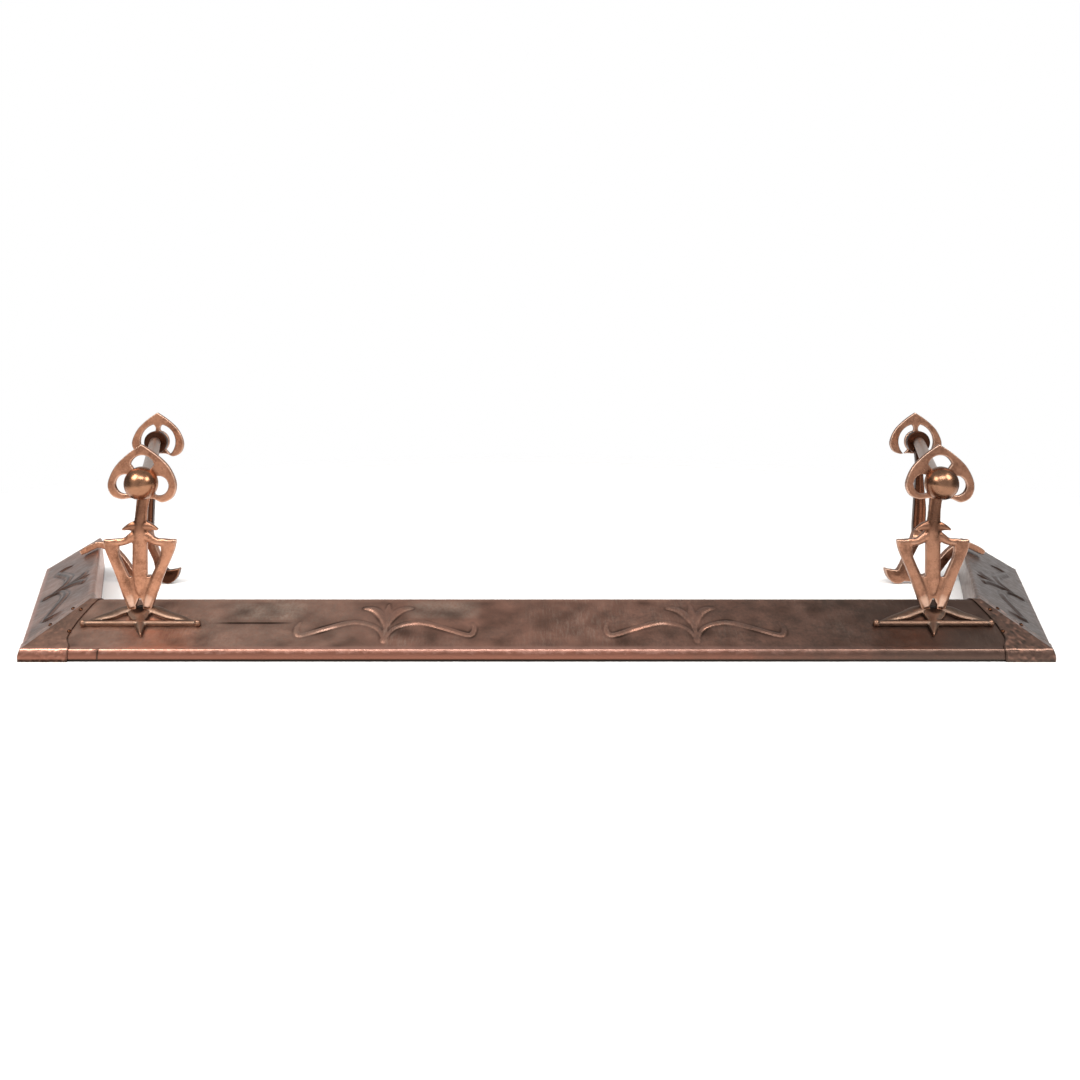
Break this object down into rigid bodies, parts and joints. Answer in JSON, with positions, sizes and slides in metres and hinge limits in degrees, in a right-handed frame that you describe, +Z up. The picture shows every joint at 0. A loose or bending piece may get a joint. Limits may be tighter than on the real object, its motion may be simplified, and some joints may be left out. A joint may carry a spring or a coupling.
{
  "type": "fire fender",
  "caption": "Low copper kerb that edges a hearth on three sides, with raised tulip and whiplash lines and a pair of lift-off cast rests that hold fire irons above it.",
  "frame": {"origin": "on the floor, under the middle of the whole footprint", "axes": "+X along the front to the right as seen from the front, +Y to the back, +Z up"},
  "size_m": [1.4838, 0.4563, 0.246],
  "materials": {
    "copper_sheet": "aged brown copper sheet, satin",
    "cast_copper": "cast copper, polished and softly tarnished",
    "bright_copper": "polished copper alloy, golden brown",
    "flat_iron": "black flat iron",
    "steel_rod": "dull round bar"
  },
  "bodies": {
    "kerb": {"front_kerb_sheet": "copper_sheet", "left_kerb_sheet": "copper_sheet", "right_kerb_sheet": "copper_sheet", "left_corner_cap": "copper_sheet", "right_corner_cap": "copper_sheet", "left_corner_rivets": "bright_copper", "right_corner_rivets": "bright_copper", "front_base_plate": "flat_iron", "left_base_plate": "flat_iron", "right_base_plate": "flat_iron", "left_corner_gusset": "flat_iron", "right_corner_gusset": "flat_iron", "left_gusset_rivets": "steel_rod", "right_gusset_rivets": "steel_rod", "left_end_plate": "copper_sheet", "right_end_plate": "copper_sheet"},
    "left_rest": {"left_star_foot": "cast_copper", "left_foot_screws": "steel_rod", "left_front_standard": "cast_copper", "left_front_head": "cast_copper", "left_front_ball": "bright_copper", "left_front_stud": "steel_rod", "left_rail": "steel_rod", "left_rear_leg": "cast_copper", "left_rear_head": "cast_copper", "left_rear_stud": "steel_rod", "left_rear_nut": "bright_copper"},
    "right_rest": {"right_star_foot": "cast_copper", "right_foot_screws": "steel_rod", "right_front_standard": "cast_copper", "right_front_head": "cast_copper", "right_front_ball": "bright_copper", "right_front_stud": "steel_rod", "right_rail": "steel_rod", "right_rear_leg": "cast_copper", "right_rear_head": "cast_copper", "right_rear_stud": "steel_rod", "right_rear_nut": "bright_copper"}
  },
  "joints": [
    {"name": "left_rest_lift", "type": "slide", "parent": "kerb", "child": "left_rest", "axis": [0, 0, 1], "range_m": [0, 0.12]},
    {"name": "right_rest_lift", "type": "slide", "parent": "kerb", "child": "right_rest", "axis": [0, 0, 1], "range_m": [0, 0.12]}
  ]
}
